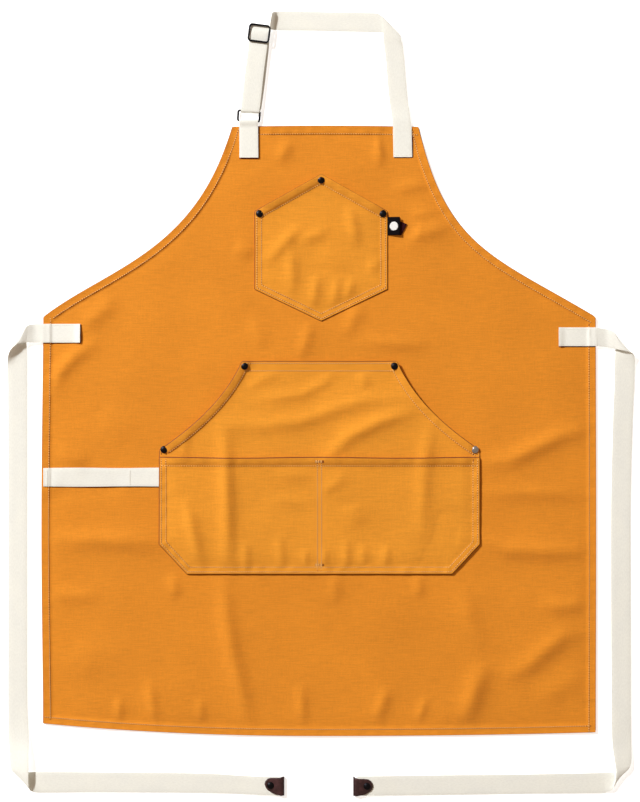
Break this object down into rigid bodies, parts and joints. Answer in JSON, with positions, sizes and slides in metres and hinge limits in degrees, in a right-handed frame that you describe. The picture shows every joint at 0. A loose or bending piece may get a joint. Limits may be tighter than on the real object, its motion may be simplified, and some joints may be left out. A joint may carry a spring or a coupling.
{
  "type": "bib apron",
  "caption": "Full-length canvas bib apron laid flat, with an adjustable webbing neck loop, chest and waist pockets, a towel loop and leather-tipped waist ties.",
  "frame": {"origin": "on the surface the apron lies on, in the middle of the apron and its neck loop, the free ties left out", "axes": "+X to the right as seen from the front, +Y from the hem towards the neck loop, +Z out of the front face"},
  "size_m": [0.8491, 1.0652, 0.0102],
  "materials": {
    "canvas": "heavy woven cotton canvas, matt",
    "webbing": "woven cotton webbing, matt",
    "leather": "smooth dark leather, satin",
    "gunmetal": "black gunmetal plating, semi-gloss",
    "label_cloth": "fine woven label tape, matt"
  },
  "bodies": {
    "apron": {"body_panel": "canvas", "chest_pocket": "canvas", "waist_pocket": "canvas", "front_pocket": "canvas", "chest_rivet_top_cap": "gunmetal", "chest_rivet_top_post": "gunmetal", "chest_rivet_left_cap": "gunmetal", "chest_rivet_left_post": "gunmetal", "waist_rivet_top_left_cap": "gunmetal", "waist_rivet_top_left_post": "gunmetal", "waist_rivet_side_left_cap": "gunmetal", "waist_rivet_side_left_post": "gunmetal", "chest_rivet_right_cap": "gunmetal", "chest_rivet_right_post": "gunmetal", "waist_rivet_top_right_cap": "gunmetal", "waist_rivet_top_right_post": "gunmetal", "waist_rivet_side_right_cap": "gunmetal", "waist_rivet_side_right_post": "gunmetal", "ring_tab": "webbing", "neck_strap_sewn_end": "webbing", "left_tie_tab": "webbing", "right_tie_tab": "webbing", "towel_loop": "webbing"},
    "ring": {"ring": "gunmetal"},
    "neck_loop": {"neck_strap": "webbing", "strap_return_leg": "webbing"},
    "slider": {"slider": "gunmetal", "strap_end_loop": "webbing"},
    "left_tie": {"left_tie": "webbing", "left_tie_tip": "leather", "left_tip_rivet_cap": "gunmetal", "left_tip_rivet_post": "gunmetal"},
    "right_tie": {"right_tie": "webbing", "right_tie_tip": "leather", "right_tip_rivet_cap": "gunmetal", "right_tip_rivet_post": "gunmetal"},
    "label": {"label": "label_cloth"}
  },
  "joints": [
    {"name": "neck_loop_fold", "type": "hinge", "parent": "apron", "child": "neck_loop", "pos_m": [-0.0961, 0.34165, 0.00375], "axis": [0.9986, -0.0523, 0], "range_deg": [0, 158]},
    {"name": "ring_swing", "type": "hinge", "parent": "apron", "child": "ring", "pos_m": [-0.0961, 0.34165, 0.00375], "axis": [0.9986, -0.0523, 0], "range_deg": [0, 158]},
    {"name": "slider_travel", "type": "slide", "parent": "neck_loop", "child": "slider", "axis": [-0.1288, -0.9917, 0], "range_m": [0, 0.06], "deforming": ["strap_return_leg"]},
    {"name": "left_tie_fold", "type": "hinge", "parent": "apron", "child": "left_tie", "pos_m": [-0.3746, 0.0542, 0.00365], "axis": [0, 1, 0], "range_deg": [0, 165]},
    {"name": "right_tie_fold", "type": "hinge", "parent": "apron", "child": "right_tie", "pos_m": [0.3746, 0.0495, 0.00365], "axis": [0, -1, 0], "range_deg": [0, 165]},
    {"name": "label_flip", "type": "hinge", "parent": "apron", "child": "label", "pos_m": [0.09195, 0.20065, 0.00415], "axis": [0, -1, 0], "range_deg": [0, 150]}
  ],
  "couplings": [
    {"joint": "ring_swing", "follows": "neck_loop_fold", "ratio": 1}
  ]
}
